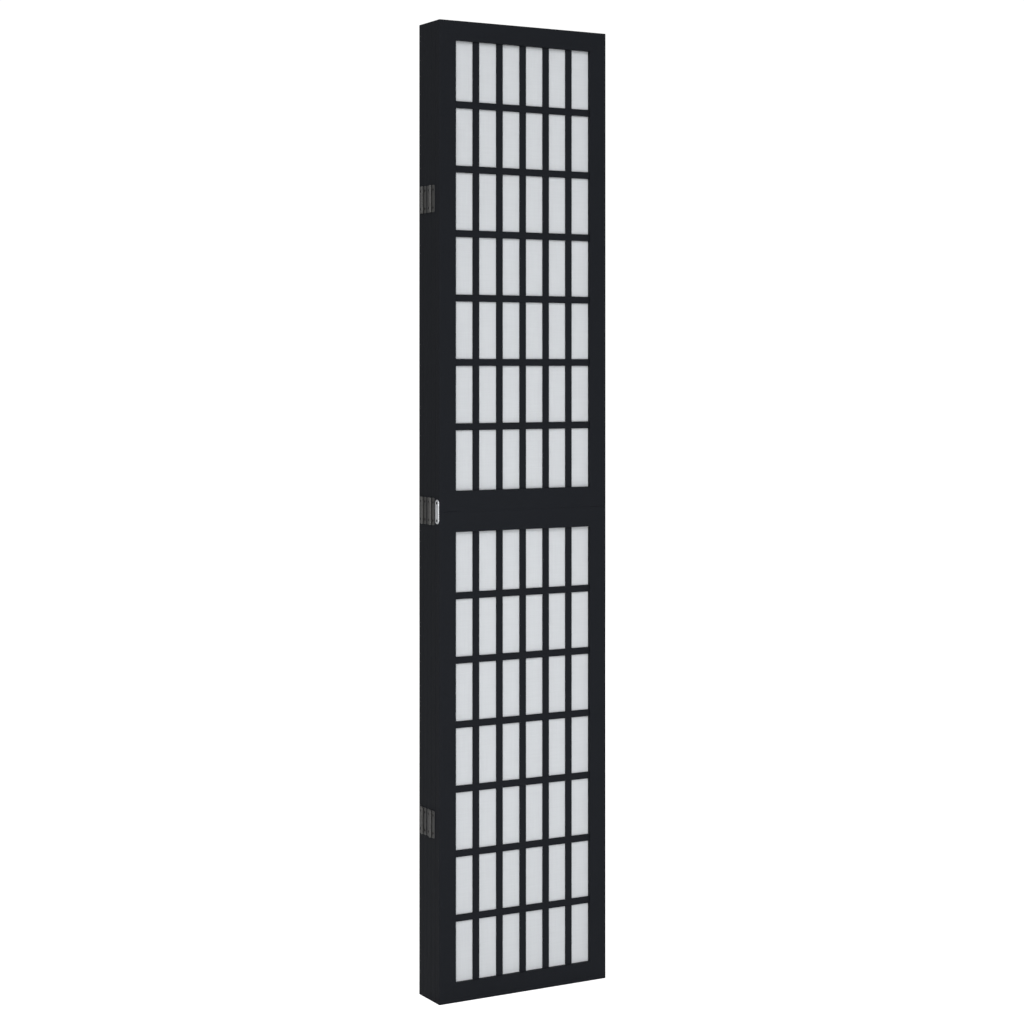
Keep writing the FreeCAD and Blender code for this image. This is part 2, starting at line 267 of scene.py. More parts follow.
def block(low: tuple[float, float, float], high: tuple[float, float, float]) -> Shell:
    """Plain square block, as a skin over two rings.

    Args:
        low: the corner with its smallest X, Y and Z.
        high: the corner with its largest.

    Returns:
        The closed shell.
    """
    (left, front, foot), (right, back, top) = low, high
    outline = np.array([(left, front), (right, front), (right, back), (left, back)])
    return skin(strung(np.stack([outline, outline]), np.array([foot, top])))


def punched_plate(
    corners: np.ndarray, radii: np.ndarray, holes: np.ndarray, thickness: float, ease: float,
    hole_radius: float, sink_radius: float, steps: int = 5, around: int = 24,
) -> Shell:
    """Flat metal plate with rounded corners, an eased rim and countersunk holes.

    The plate lies in the XY plane and rises from z = 0. Its rim goes straight up and then leans
    in by the ease, in two bevels. Each hole goes straight up and then opens at 45 degrees to the
    sink radius. The two flat faces are triangulated between the rim and the holes.

    Args:
        corners: (corners, 2) square-cornered outline, anticlockwise.
        radii: (corners,) radius of each corner.
        holes: (holes, 2) middles of the holes.
        thickness: of the plate.
        ease: how far the rim is rounded over.
        hole_radius: at the bottom.
        sink_radius: at the top.
        steps: straight runs in each rounded corner.
        around: straight runs round a hole.

    Returns:
        The closed shell.
    """
    least_radius = 0.02
    bevel = 0.3 * ease
    insets = np.array([0.0, 0.0, bevel, ease])
    heights = np.array([0.0, thickness - ease, thickness - bevel, thickness])
    rim = eased(inset(corners, insets), np.maximum(radii - insets[:, None], least_radius), steps)
    hole = np.array([hole_radius, hole_radius, sink_radius])[:, None, None] * circle(around)
    hole_heights = np.array([0.0, thickness - (sink_radius - hole_radius), thickness])
    loops = [strung(rim, heights)] + [strung(middle + hole, hole_heights) for middle in holes]
    walls = [skin(loop, caps=0) for loop in loops]
    flats = [filled([loop[level] for loop in loops]) for level in (0, -1)]
    return Shell.joined(walls + flats)


def filled(loops: list[np.ndarray]) -> Shell:
    """Flat face between an outer loop and the holes in it.

    The loops are triangulated as fixed edges. A triangle is kept where its middle lies within an
    odd number of the loops, so inside the outer one and outside every hole.

    Args:
        loops: (points, 3) loops of equal height, the outer one first.

    Returns:
        An open shell of triangles on the loops' own points.
    """
    points = np.concatenate(loops)
    starts = np.cumsum([0] + [len(loop) for loop in loops])
    edges = [
        (int(start) + step, int(start) + (step + 1) % len(loop))
        for start, loop in zip(starts, loops)
        for step in range(len(loop))
    ]
    flat = [Vector(point[:2]) for point in points]
    _, _, faces, origin, _, _ = delaunay_2d_cdt(flat, edges, [], WHOLE_HULL, HULL_ROUNDING)
    triangles = np.array([[origin[corner][0] for corner in face] for face in faces])
    middles = points[triangles].mean(axis=1)
    around = sum(within(middles, loop).astype(int) for loop in loops)
    return Shell(points, triangles[around % 2 == 1].tolist())


def within(points: np.ndarray, loop: np.ndarray) -> np.ndarray:
    """Which points lie within a flat loop, seen from above.

    A ray from the point towards +X crosses an edge where the edge's ends lie on either side of
    the point's y, and the edge has that y to the right of the point. The point is within where
    the ray crosses an odd number of edges.

    Args:
        points: (points, 3).
        loop: (corners, 3).

    Returns:
        (points,) true or false.
    """
    x, y = points[:, 0, None], points[:, 1, None]
    start_x, start_y = loop[:, 0], loop[:, 1]
    end_x, end_y = np.roll(start_x, -1), np.roll(start_y, -1)
    either_side = (start_y > y) != (end_y > y)
    rise = np.where(either_side, end_y - start_y, 1.0)
    right_of_point = start_x + (y - start_y) / rise * (end_x - start_x) > x
    return (either_side & right_of_point).sum(axis=1) % 2 == 1


# ======================== pieces
@dataclass(frozen=True)
class Riding:
    """Where a piece belongs: the CAD body it moves with, its slot, and the nodes it stands for."""

    body: str
    slot: str
    nodes: tuple[str, ...] = ()


def dress(name: str, shell: Shell, finish: Material, riding: Riding) -> bpy.types.Object:
    """Make a piece from a shell, and fix it to its CAD body.

    Points that coincide are merged, and the faces of each closed surface are pointed outwards.

    Args:
        name: of the piece.
        shell: its surfaces in millimetres, where they stand on the folded screen.
        finish: its material.
        riding: its body, slot and CAD nodes.

    Returns:
        The finished object.
    """
    mesh = bpy.data.meshes.new(name)
    mesh.from_pydata((shell.points * MM).tolist(), [], shell.faces)
    work = bmesh.new()
    work.from_mesh(mesh)
    bmesh.ops.remove_doubles(work, verts=work.verts, dist=SAME_POINT)
    bmesh.ops.dissolve_degenerate(work, dist=NO_LENGTH, edges=work.edges)
    bmesh.ops.recalc_face_normals(work, faces=work.faces)
    work.to_mesh(mesh)
    work.free()
    mesh.shade_smooth()
    mesh.set_sharp_from_angle(angle=SHARP_BEND)
    mesh.materials.append(finish)
    piece = bpy.data.objects.new(name, mesh)
    bpy.context.scene.collection.objects.link(piece)
    weighted = piece.modifiers.new("flat faces stay flat", "WEIGHTED_NORMAL")
    weighted.keep_sharp = True
    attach(piece, riding.body)
    if riding.nodes:
        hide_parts(*riding.nodes)
    LOG.info("%s: %d faces on %s", name, len(mesh.polygons), riding.body)
    return piece


# ======================== finishes
def linear(code: str) -> tuple[float, float, float, float]:
    """Colour for a shader, by the sRGB curve.

    Args:
        code: sRGB hex code such as #1c1d20.

    Returns:
        Linear red, green and blue, and an alpha of 1.
    """
    parts = [int(code[place:place + 2], 16) / 255 for place in (1, 3, 5)]
    values = [
        part / 12.92 if part <= 0.04045 else ((part + 0.055) / 1.055) ** 2.4 for part in parts
    ]
    return (*values, 1.0)


def add(tree: Tree, kind: str, inputs: dict | None = None, **settings: str) -> bpy.types.Node:
    """Add a node.

    Args:
        tree: the node tree it goes into.
        kind: Blender's name for the node.
        inputs: socket name or number, with the value or the output socket that feeds it.
        **settings: the node's own properties.

    Returns:
        The node.
    """
    node = tree.nodes.new(kind)
    for name, value in settings.items():
        setattr(node, name, value)
    for name, value in (inputs or {}).items():
        if isinstance(value, Socket):
            tree.links.new(value, node.inputs[name])
        else:
            node.inputs[name].default_value = value
    return node


def new_material(name: str) -> tuple[Material, Tree]:
    """Empty node material.

    Args:
        name: of the material.

    Returns:
        The material and its node tree.
    """
    material = bpy.data.materials.new(name)
    material.use_nodes = True
    material.node_tree.nodes.clear()
    return material, material.node_tree


def per_mm(pitch: float) -> float:
    """Repeats per metre of a pattern whose features are pitch millimetres apart."""
    return 1.0 / (pitch * MM)


@dataclass(frozen=True)
class SatinBlackPaint:
    """Softwood sprayed with satin black paint.

    The paint fills the pores almost level. It leaves a near-black skin, a little blue, with a
    broad dull gloss, a faint relief of grain lines and an even finer spray texture.
    """

    grain: Grain
    colour: str = "#1a1c20"
    rubbed: str = "#1c1e22"
    roughness: tuple[float, float] = (0.5, 0.58)
    grain_width: float = 1.6
    grain_length: float = 70.0
    spray_grain: float = 0.9
    cloud: float = 60.0
    grain_relief: float = 0.03
    spray_relief: float = 0.006
    specular: float = 0.05

    def material(self) -> Material:
        """Make the paint, with its grain along this finish's axis.

        Returns:
            The material.
        """
        material, tree = new_material(f"satin_black_paint_on_{self.grain.name.lower()}_grain")
        place = add(tree, "ShaderNodeTexCoord").outputs["Object"]
        stretch = [per_mm(self.grain_width)] * 3
        stretch[self.grain.value] = per_mm(self.grain_length)
        lines = add(tree, "ShaderNodeMapping", {"Vector": place, "Scale": stretch})
        grain = add(tree, "ShaderNodeTexNoise", {
            "Vector": lines.outputs[0], "Scale": 1.0,
            "Detail": 3.0, "Roughness": 0.6, "Distortion": 0.3,
        })
        spray = add(tree, "ShaderNodeTexNoise", {
            "Vector": place, "Scale": per_mm(self.spray_grain), "Detail": 1.0,
        })
        cloud = add(tree, "ShaderNodeTexNoise", {
            "Vector": place, "Scale": per_mm(self.cloud), "Detail": 2.0,
        })
        shade = add(tree, "ShaderNodeMix", {
            0: cloud.outputs[0], 6: linear(self.colour), 7: linear(self.rubbed),
        }, data_type="RGBA")
        glossy, dull = self.roughness
        gloss = add(tree, "ShaderNodeMapRange", {
            "Value": grain.outputs[0], "To Min": glossy, "To Max": dull, **NOISE_RANGE,
        })
        pores = add(tree, "ShaderNodeBump", {
            "Height": grain.outputs[0], "Distance": self.grain_relief * MM, "Strength": 1.0,
        })
        sprayed = add(tree, "ShaderNodeBump", {
            "Height": spray.outputs[0], "Distance": self.spray_relief * MM, "Strength": 1.0,
            "Normal": pores.outputs[0],
        })
        surface = add(tree, "ShaderNodeBsdfPrincipled", {
            "Base Color": shade.outputs[2], "Roughness": gloss.outputs[0],
            "Specular IOR Level": self.specular, "Normal": sprayed.outputs[0],
        })
        add(tree, "ShaderNodeOutputMaterial", {"Surface": surface.outputs[0]})
        return material


@dataclass(frozen=True)
class ShadeCloth:
    """Plain-woven polyester, off-white, stretched as the screen's paper.

    Light spreads through it, so it glows a little where it is lit from behind. Threads are 0.3 mm
    apart on the real cloth; they are drawn coarser, so that a near view shows them.
    """

    colour: str = "#e2e5e8"
    slub: str = "#dfe2e5"
    thread_pitch: float = 0.6
    slub_length: float = 40.0
    slub_width: float = 1.5
    slub_range: tuple[float, float] = (0.8, 1.25)
    thread_relief: float = 0.05
    through: float = 0.3
    roughness: float = 0.85

    def material(self) -> Material:
        """Make the cloth, with its weave square to the sheet.

        The height of the weave is the product of two sine waves, one half wave to a thread, so
        that threads pass over and under each other.

        Returns:
            The material.
        """
        material, tree = new_material("woven_polyester_shade_cloth")
        place = add(tree, "ShaderNodeTexCoord").outputs["Object"]
        apart = add(tree, "ShaderNodeSeparateXYZ", {0: place})
        threads = []
        for axis in ("X", "Z"):
            turns = add(tree, "ShaderNodeMath", {
                0: apart.outputs[axis], 1: math.pi * per_mm(self.thread_pitch),
            }, operation="MULTIPLY")
            threads.append(add(tree, "ShaderNodeMath", {0: turns.outputs[0]}, operation="SINE"))
        over_under = add(tree, "ShaderNodeMath", {
            0: threads[0].outputs[0], 1: threads[1].outputs[0],
        }, operation="MULTIPLY")
        slubs = []
        for along in (0, 2):
            stretch = [per_mm(self.slub_width)] * 3
            stretch[along] = per_mm(self.slub_length)
            lines = add(tree, "ShaderNodeMapping", {"Vector": place, "Scale": stretch})
            slubs.append(add(tree, "ShaderNodeTexNoise", {
                "Vector": lines.outputs[0], "Scale": 1.0, "Detail": 1.0,
            }))
        uneven = add(tree, "ShaderNodeMath", {
            0: slubs[0].outputs[0], 1: slubs[1].outputs[0],
        }, operation="ADD")
        least, most = self.slub_range
        share = add(tree, "ShaderNodeMapRange", {
            "Value": uneven.outputs[0], "From Min": least, "From Max": most,
        })
        shade = add(tree, "ShaderNodeMix", {
            0: share.outputs[0], 6: linear(self.colour), 7: linear(self.slub),
        }, data_type="RGBA")
        weave = add(tree, "ShaderNodeBump", {
            "Height": over_under.outputs[0], "Distance": self.thread_relief * MM, "Strength": 0.5,
        })
        front = add(tree, "ShaderNodeBsdfPrincipled", {
            "Base Color": shade.outputs[2], "Roughness": self.roughness,
            "Specular IOR Level": 0.2, "Sheen Weight": 0.1, "Normal": weave.outputs[0],
        })
        behind = add(tree, "ShaderNodeBsdfTranslucent", {"Color": shade.outputs[2]})
        surface = add(tree, "ShaderNodeMixShader", {
            0: self.through, 1: front.outputs[0], 2: behind.outputs[0],
        })
        add(tree, "ShaderNodeOutputMaterial", {"Surface": surface.outputs[0]})
        return material


@dataclass(frozen=True)
class PlatedSteel:
    """Pressed steel with a thin plating.

    The plating is dull grey on the hinges, near black on the screws and pins, and pale grey on
    the seam plates. It is evenly dull, with a cloudy gloss and fine scratches left by tumbling.
    """

    name: str
    colour: str
    cloudy: str
    roughness: float
    roughness_spread: float = 0.06
    scratch_pitch: float = 0.5
    cloud: float = 6.0
    scratch_relief: float = 0.004

    def material(self) -> Material:
        """Make the plated steel.

        Returns:
            The material.
        """
        material, tree = new_material(self.name)
        place = add(tree, "ShaderNodeTexCoord").outputs["Object"]
        cloud = add(tree, "ShaderNodeTexNoise", {
            "Vector": place, "Scale": per_mm(self.cloud), "Detail": 3.0,
        })
        shade = add(tree, "ShaderNodeMix", {
            0: cloud.outputs[0], 6: linear(self.colour), 7: linear(self.cloudy),
        }, data_type="RGBA")
        gloss = add(tree, "ShaderNodeMapRange", {
            "Value": cloud.outputs[0], "To Min": self.roughness - self.roughness_spread,
            "To Max": self.roughness + self.roughness_spread, **NOISE_RANGE,
        })
        scratches = add(tree, "ShaderNodeTexNoise", {
            "Vector": place, "Scale": per_mm(self.scratch_pitch), "Detail": 2.0, "Distortion": 1.5,
        })
        scratched = add(tree, "ShaderNodeBump", {
            "Height": scratches.outputs[0], "Distance": self.scratch_relief * MM, "Strength": 1.0,
        })
        surface = add(tree, "ShaderNodeBsdfPrincipled", {
            "Base Color": shade.outputs[2], "Metallic": 1.0, "Roughness": gloss.outputs[0],
            "Normal": scratched.outputs[0],
        })
        add(tree, "ShaderNodeOutputMaterial", {"Surface": surface.outputs[0]})
        return material


HINGE_STEEL = PlatedSteel("nickel_plated_hinge_steel", "#656565", "#5c5c5b", roughness=0.54)
SCREW_STEEL = PlatedSteel("black_oxide_screw_steel", "#1c1c1c", "#262422", roughness=0.45)
PLATE_STEEL = PlatedSteel("zinc_plated_seam_plate_steel", "#dcdee1", "#d0d2d5", roughness=0.5)


# ======================== panels
@dataclass(frozen=True)
class HalfSizes:
    """Sizes of a half panel in its own frame: end rail down, front at y = 0, middle at x = 0."""

    half_width: float
    thickness: float
    height: float
    opening_side: float
    opening_low: float
    opening_high: float
    lattice_front: float
    groove_front: float
    groove_back: float
    housed: float = 5.5
    groove_depth: float = 6.0
    tongue_set_in: float = 8.0
    upright_width: float = 12.7
    crossbar_height: float = 12.9
    crossbar_thickness: float = 2.0
    upright_count: int = 5
    crossbar_count: int = 6
    end_column_extra: float = 1.15
    end_row_extra: float = 5.4

    @classmethod
    def read(cls) -> "HalfSizes":
        """Measure the frame's front lower half, whose origin is on the floor.

        Returns:
            Its sizes.
        """
        stiles_low, stiles_high = (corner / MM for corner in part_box("panel_1_lower_stiles"))
        fabric_low, fabric_high = (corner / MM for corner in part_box("panel_1_lower_fabric"))
        lattice_low, _ = (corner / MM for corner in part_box("panel_1_lower_lattice"))
        front = stiles_low.y
        return cls(
            half_width=stiles_high.x,
            thickness=stiles_high.y - front,
            height=stiles_high.z,
            opening_side=fabric_high.x - cls.housed,
            opening_low=fabric_low.z + cls.housed,
            opening_high=fabric_high.z - cls.housed,
            lattice_front=lattice_low.y - front,
            groove_front=fabric_low.y - front,
            groove_back=fabric_high.y - front,
        )

    @staticmethod
    def spread(opening: float, width: float, end_extra: float, count: int) -> np.ndarray:
        """Middles of a row of bars, seen from the middle of the opening that they cross.

        Args:
            opening: from side to side.
            width: of a bar.
            end_extra: how much wider the outermost panes are than the rest.
            count: of bars.

        Returns:
            (count,) places.
        """
        pitch = (opening + width - 2 * end_extra) / (count + 1)
        return pitch * (np.arange(count) - (count - 1) / 2)

    @property
    def upright_places(self) -> np.ndarray:
        """X of the middle of each upright."""
        opening = 2 * self.opening_side
        return self.spread(opening, self.upright_width, self.end_column_extra, self.upright_count)

    @property
    def crossbar_places(self) -> np.ndarray:
        """Z of the middle of each crossbar.

        Returns:
            (crossbars,) places.
        """
        low, high = self.opening_low, self.opening_high
        return (low + high) / 2 + self.spread(
            high - low, self.crossbar_height, self.end_row_extra, self.crossbar_count
        )


@dataclass(frozen=True)
class FrameMembers:
    """Stiles and rails of a half panel: bars with softly eased edges and a groove for the cloth.

    A section's groove starts at the front of the cloth. Where the groove's front corners are
    brought forward to the front of the lattice, the groove widens to a square pocket: a mortise
    in a stile, or an upright's socket in a rail.
    """

    sizes: HalfSizes
    ease: float = 0.6
    end_ease: float = 0.9
    joint_ease: float = 0.05
    seam_ease: float = 0.25
    run_out: float = 2.0

    def stile(self) -> Shell:
        """Right-hand stile.

        Its plan section is carried straight up, through two stations at each end of a mortise.
        The outer edges and the ends are eased all the way. The inner edges are eased only along
        the opening, and run out to a closed joint where a rail's end butts against them.

        Returns:
            The closed shell.
        """
        size = self.sizes
        side, floor = size.opening_side, size.opening_side + size.groove_depth
        front, back = size.groove_front, size.groove_back
        corners = np.array([
            (side, size.thickness), (side, back), (floor, back), (floor, front),
            (side, front), (side, 0.0), (size.half_width, 0.0), (size.half_width, size.thickness),
        ])
        groove_front, inner_edges, outer_edges = slice(3, 5), [0, 5], [6, 7]
        ends, insets = eased_ends(0.0, size.height, self.end_ease)
        low, high = size.opening_low, size.opening_high
        low_foot, low_top = size.tongue_set_in, low - size.groove_depth
        high_foot, high_top = high + size.groove_depth, size.height - size.tongue_set_in
        stations = [(place, inwards, False, False) for place, inwards in zip(ends, insets)]
        half = len(stations) // 2
        stations[half:half] = [
            (low_foot, 0, False, False), (low_foot, 0, True, False),
            (low_top, 0, True, False), (low_top, 0, False, False),
            (low, 0, False, False), (low + self.run_out, 0, False, True),
            (high - self.run_out, 0, False, True), (high, 0, False, False),
            (high_foot, 0, False, False), (high_foot, 0, True, False),
            (high_top, 0, True, False), (high_top, 0, False, False),
        ]
        places, inwards, pockets, open_edge = (np.array(column) for column in zip(*stations))
        sections = inset(corners, inwards)
        sections[pockets, groove_front, 1] = size.lattice_front
        radii = np.zeros((len(places), len(corners)))
        radii[:, inner_edges] = np.where(open_edge, self.ease, self.joint_ease)[:, None]
        radii[:, outer_edges] = self.ease
        return skin(strung(eased(sections, radii), places))

    def rail(self, outer: float, inner: float, outer_ease: float) -> Shell:
        """Rail with a stub tongue at each end.

        Its upright section is carried straight across the opening, through two stations at each
        side of an upright's socket, with its four long edges eased.

        Args:
            outer: z of the edge away from the opening.
            inner: z of the edge along the opening.
            outer_ease: rounding of the edges away from the opening.

        Returns:
            The rail and its two tongues, as closed shells.
        """
        size = self.sizes
        away = math.copysign(1.0, outer - inner)
        floor = inner + away * size.groove_depth
        thick, front, back = size.thickness, size.groove_front, size.groove_back
        corners = np.array([
            (0.0, outer), (thick, outer), (thick, inner), (back, inner),
            (back, floor), (front, floor), (front, inner), (0.0, inner),
        ])
        outer_edges, inner_edges, groove_front = [0, 1], [2, 7], slice(5, 7)
        places, pockets = cut_stations(
            -size.opening_side, size.opening_side, size.upright_places, size.upright_width
        )
        sections = np.broadcast_to(corners, (len(places), *corners.shape)).copy()
        sections[pockets, groove_front, 0] = size.lattice_front
        radii = np.zeros((len(places), len(corners)))
        radii[:, outer_edges] = outer_ease
        radii[:, inner_edges] = self.ease
        bar = skin(strung(eased(sections, radii), places, along=0))
        tongue_low, tongue_high = sorted((outer - away * size.tongue_set_in, floor))
        tongue = block(
            (size.opening_side, size.lattice_front, tongue_low),
            (size.opening_side + size.housed, size.groove_back, tongue_high),
        )
        return Shell.joined([bar, tongue, tongue.flipped(x=-1.0)])

    def stiles(self) -> Shell:
        """Both stiles."""
        stile = self.stile()
        return Shell.joined([stile.flipped(x=-1.0), stile])

    def rails(self) -> Shell:
        """End rail and seam rail.

        Returns:
            Both rails with their tongues, as closed shells.
        """
        size = self.sizes
        end = self.rail(0.0, size.opening_low, self.ease)
        seam = self.rail(size.height, size.opening_high, self.seam_ease)
        return Shell.joined([end, seam])


@dataclass(frozen=True)
class Lattice:
    """Uprights and crossbars, let into each other so that their faces are level."""

    sizes: HalfSizes
    ease: float = 0.5
    back_ease: float = 0.2

    def upright(self) -> Shell:
        """One upright at x = 0, notched across the front for every crossbar.

        Its section is carried straight up. In a notch the section's front is pressed back to the
        notch floor.

        Returns:
            The closed shell.
        """
        size = self.sizes
        half, front, back = size.upright_width / 2, size.lattice_front, size.groove_front
        corners = np.array([(-half, front), (half, front), (half, back), (-half, back)])
        places, notched = cut_stations(
            size.opening_low - size.housed, size.opening_high + size.housed,
            size.crossbar_places, size.crossbar_height,
        )
        radii = np.array([[self.ease, self.ease, self.back_ease, self.back_ease]])
        sections = eased(np.stack([corners] * len(places)), radii)
        floor = front + size.crossbar_thickness
        depth = sections[:, :, 1]
        sections[:, :, 1] = np.where(notched[:, None], np.maximum(depth, floor), depth)
        return skin(strung(sections, places))

    def crossbar(self) -> Shell:
        """One crossbar at z = 0, a flat strip with eased edges that fills the notches.

        Returns:
            The closed shell.
        """
        size = self.sizes
        half, front = size.crossbar_height / 2, size.lattice_front
        back = front + size.crossbar_thickness
        corners = np.array([(front, -half), (back, -half), (back, half), (front, half)])
        radii = np.array([[self.ease, self.back_ease, self.back_ease, self.ease]])
        sections = eased(np.stack([corners, corners]), radii)
        ends = np.array([-size.opening_side, size.opening_side])
        return skin(strung(sections, ends, along=0))

    def uprights(self) -> Shell:
        """All the uprights."""
        bar = self.upright()
        return Shell.joined([bar.moved(x=float(place)) for place in self.sizes.upright_places])

    def crossbars(self) -> Shell:
        """All the crossbars."""
        bar = self.crossbar()
        return Shell.joined([bar.moved(z=float(place)) for place in self.sizes.crossbar_places])


@dataclass(frozen=True)
class Shade:
    """The cloth sheet of a half panel, held all round in the groove."""

    sizes: HalfSizes
    cloth_thickness: float = 0.4
    slack: float = 0.12
    waves: int = 4
    wave_share: float = 0.35
    half_waves_across: tuple[int, int] = (2, 6)
    half_waves_up: tuple[int, int] = (3, 12)
    columns: int = 48
    rows: int = 126

    @property
    def flat(self) -> tuple[float, float]:
        """Size that the sheet was cut to.

        Returns:
            Its width and length in metres.
        """
        size = self.sizes
        width = 2 * (size.opening_side + size.housed)
        length = size.opening_high - size.opening_low + 2 * size.housed
        return width * MM, length * MM

    def surface(self, seed: int) -> Shell:
        """Mid surface of the sheet as a grid.

        With u and v running from 0 to 1 across and up the opening, the sheet lies back from the
        lattice by slack times the sum of a few sine waves, each of a whole number of half waves,
        so that it comes back to the groove at every edge.

        Args:
            seed: chooses the waves, so that no two sheets are alike.

        Returns:
            An open shell.
        """
        size = self.sizes
        side, low, high = size.opening_side, size.opening_low, size.opening_high
        x = np.linspace(-side - size.housed, side + size.housed, self.columns + 1)
        z = np.linspace(low - size.housed, high + size.housed, self.rows + 1)
        across, up = np.meshgrid(x, z)
        u = np.clip((across + side) / (2 * side), 0, 1)
        v = np.clip((up - low) / (high - low), 0, 1)
        random = np.random.default_rng(seed)
        bulge = np.sin(math.pi * u) * np.sin(math.pi * v)
        for _ in range(self.waves):
            m = random.integers(*self.half_waves_across)
            n = random.integers(*self.half_waves_up)
            share = self.wave_share * random.random()
            bulge = bulge + share * np.sin(m * math.pi * u) * np.sin(n * math.pi * v)
        middle = size.groove_front + self.cloth_thickness / 2
        depth = middle + self.slack * np.maximum(bulge, 0)
        points = np.stack([across, depth, up], axis=-1).reshape(-1, 3)
        index = np.arange(len(points)).reshape(across.shape)
        quads = np.stack([index[:-1, :-1], index[:-1, 1:], index[1:, 1:], index[1:, :-1]], axis=-1)
        return Shell(points, quads.reshape(-1, 4).tolist())


@dataclass(frozen=True)
class HalfPanel:
    """One half of one panel, made in its own frame and stood in its place."""

    panel: int
    half: Half
    sizes: HalfSizes

    @property
    def label(self) -> str:
        """Panel and half, as used in the names of CAD nodes."""
        return f"panel_{self.panel}_{self.half.value}"

    def placed(self, shell: Shell) -> Shell:
        """Stand a shell at this half's place.

        An upper half is turned upside down about Y. A panel of even number faces backwards: it is
        turned about Z. A half is alike on its left and right, so neither turn needs X to change.

        Args:
            shell: a piece in the half panel's own frame.

        Returns:
            The piece where it stands on the folded screen.
        """
        low, high = (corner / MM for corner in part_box(f"{self.label}_stiles"))
        upper, faces_back = self.half is Half.UPPER, self.panel % 2 == 0
        turned = shell.flipped(y=-1.0 if faces_back else 1.0, z=-1.0 if upper else 1.0)
        return turned.moved(y=high.y if faces_back else low.y, z=high.z if upper else low.z)

    def build(self, finishes: dict[str, Material]) -> None:
        """Make and dress the half's pieces.

        Args:
            finishes: the materials by finish name.
        """
        members, lattice, shade = FrameMembers(self.sizes), Lattice(self.sizes), Shade(self.sizes)
        body, tail = f"panel_{self.panel}", f"{self.panel}_{self.half.value}"
        wood = [
            ("stiles", members.stiles(), "upright_paint", "frame_wood", "stiles"),
            ("rails", members.rails(), "level_paint", "frame_wood", "rails"),
            ("uprights", lattice.uprights(), "upright_paint", "lattice_wood", "lattice"),
            ("crossbars", lattice.crossbars(), "level_paint", "lattice_wood", "lattice"),
        ]
        for name, shell, finish, slot, node in wood:
            riding = Riding(body, slot, (f"{self.label}_{node}",))
            dress(f"{name}_{tail}", self.placed(shell), finishes[finish], riding)
        seed = self.panel * len(Half) + list(Half).index(self.half)
        cloth = dress(
            f"shade_{tail}",
            self.placed(shade.surface(seed)),
            finishes["cloth"],
            Riding(body, "shade_fabric", (f"{self.label}_fabric",)),
        )
        wall = cloth.modifiers.new("cloth thickness", "SOLIDIFY")
        wall.thickness = shade.cloth_thickness * MM
        wall.offset = 0.0


# ======================== hinges and plates
def up_the_edge(hinge: Shell, low: float, high: float) -> Shell:
    """Repeat a part of one hinge, standing on z = 0, for all the hinges of an edge.

    Args:
        hinge: the part.
        low: z of the foot of the lowest hinge.
        high: z of the top of the highest one.

    Returns:
        The parts of all the hinges, evenly spaced.
    """
    feet = low + (high - low - HINGE_HEIGHT) * np.arange(HINGES_PER_EDGE) / (HINGES_PER_EDGE - 1)
    return Shell.joined([hinge.moved(z=float(foot)) for foot in feet])


@dataclass(frozen=True)
class Screw:
    """Countersunk wood screw: a low domed head with a cross recess, flush with its plate."""

    head_radius: float = 2.3
    shank_radius: float = 1.4
    shank_height: float = 0.05
    rise: float = 0.4
    flat_radius: float = 1.6
    recess_depth: float = 0.9
    recess_reach: float = 1.3
    recess_width: float = 0.6
    recess_taper: float = 0.1
    around: int = 32

    def cross(self, drawn_in: float) -> np.ndarray:
        """Outline of the recess: three corners of one arm, turned a quarter at a time.

        Args:
            drawn_in: how far the outline lies inside the one at the recess's mouth.

        Returns:
            (12, 2) corners, anticlockwise.
        """
        half, reach = self.recess_width / 2 - drawn_in, self.recess_reach - drawn_in
        arms = [np.array([(reach, -half), (reach, half), (half, half)])]
        for _ in range(3):
            x, y = arms[-1].T
            arms.append(np.stack([-y, x], axis=1))
        return np.concatenate(arms)

    def shell(self, plate_thickness: float) -> Shell:
        """The head, as if screwed into a plate that lies on z = 0.

        At radius r the top is the plate's face plus a dome, rise (1 - (r / R)^2), which ends in a
        small flat. The recess goes down from the flat with slightly leaning walls. Below, a cone
        runs in to the shank.

        Args:
            plate_thickness: of the plate that the screw holds.

        Returns:
            The closed shell.
        """
        edge = self.head_radius
        on_dome = (2 * edge + self.flat_radius) / 3
        radii = np.array([self.shank_radius, edge, on_dome, self.flat_radius])
        heights = plate_thickness + self.rise * (1 - (radii / edge) ** 2)
        heights[0] = self.shank_height
        head = strung(radii[:, None, None] * circle(self.around), heights)
        crosses = np.stack([self.cross(0.0), self.cross(self.recess_taper)])
        recess = strung(crosses, heights[-1] - np.array([0.0, self.recess_depth]))
        top, floor = filled([head[-1], recess[0]]), filled([recess[1]])
        return Shell.joined([skin(head, caps=1), top, skin(recess, caps=0), floor])


